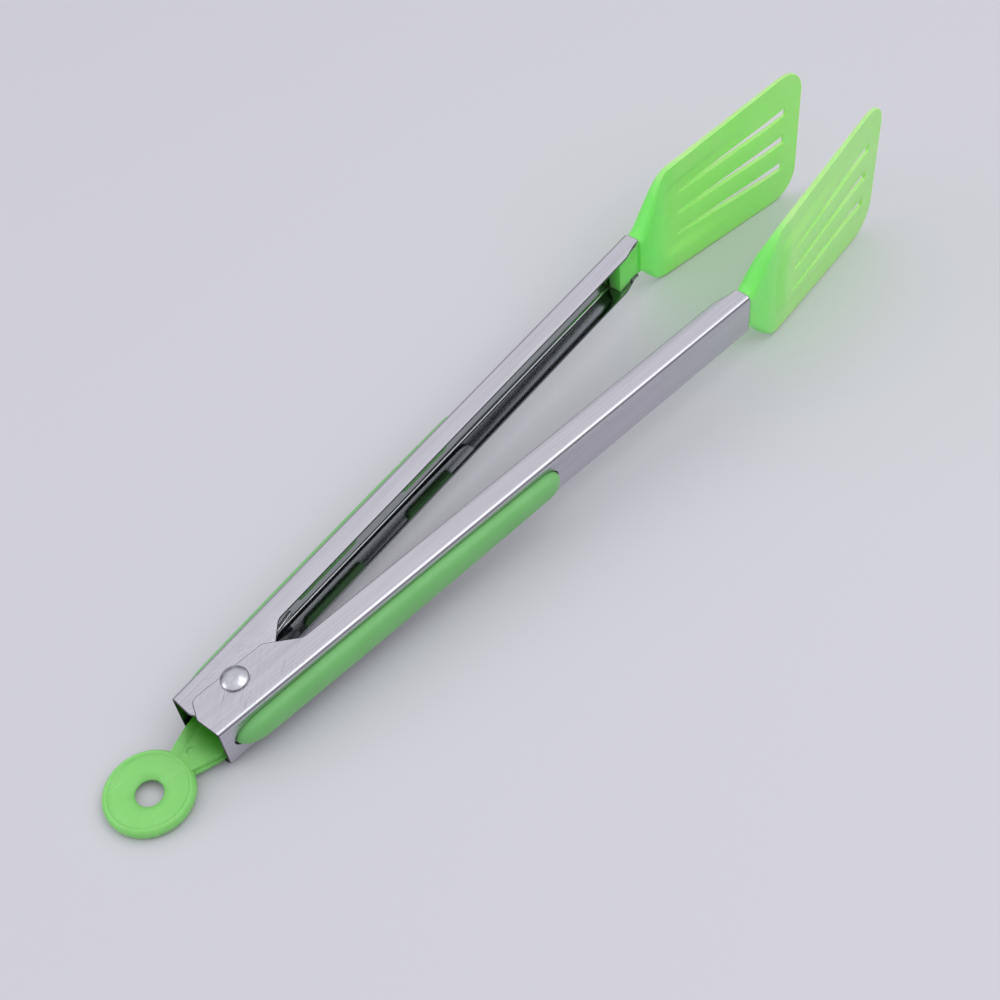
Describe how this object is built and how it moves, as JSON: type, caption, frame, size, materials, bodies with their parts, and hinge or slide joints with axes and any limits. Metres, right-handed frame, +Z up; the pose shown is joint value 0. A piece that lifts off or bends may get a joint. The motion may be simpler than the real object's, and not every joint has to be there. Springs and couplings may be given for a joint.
{
  "type": "kitchen tongs",
  "caption": "Spring loaded kitchen tongs: riveted steel channel arms, slotted turner heads, soft grips and a locking pull ring.",
  "frame": {"origin": "on the surface the tongs lie on, under the middle of their bounding box", "axes": "+X from the ring to the heads, +Y to the left arm, +Z up; the tongs lie with their heads raised by the tilt of their hinge axis"},
  "size_m": [0.352, 0.0546, 0.0587],
  "materials": {
    "steel": "stainless sheet, brushed lengthwise",
    "rivet_steel": "polished steel",
    "spring_steel": "drawn stainless spring wire",
    "soft_grip": "matt soft plastic",
    "green_plastic": "translucent moulded nylon, satin"
  },
  "bodies": {
    "pivot": {"pivot_rivet": "rivet_steel", "spacer_sleeve": "rivet_steel", "return_spring": "spring_steel"},
    "left": {"arm_left": "steel", "grip_pad_left": "soft_grip", "turner_head_left": "green_plastic"},
    "right": {"arm_right": "steel", "grip_pad_right": "soft_grip", "turner_head_right": "green_plastic"},
    "puller": {"pull_tab": "green_plastic"}
  },
  "joints": [
    {"name": "arm_left_close", "type": "hinge", "parent": "pivot", "child": "left", "pos_m": [-0.12593, 0, 0.01077], "axis": [0.0643, 0, -0.9979], "range_deg": [0, 3.05], "stiffness_Nm_per_rad": 1.6, "springref_deg": -6.88, "deforming": ["return_spring"]},
    {"name": "arm_right_close", "type": "hinge", "parent": "pivot", "child": "right", "pos_m": [-0.12593, 0, 0.01077], "axis": [-0.0643, 0, 0.9979], "range_deg": [0, 3.05]},
    {"name": "pull_tab_slide", "type": "slide", "parent": "pivot", "child": "puller", "axis": [-0.9979, 0, -0.0643], "range_m": [0, 0.007]}
  ],
  "couplings": [
    {"joint": "arm_right_close", "follows": "arm_left_close", "ratio": 1},
    {"joint": "pull_tab_slide", "follows": "arm_left_close", "m_per_rad": 0.13149}
  ]
}
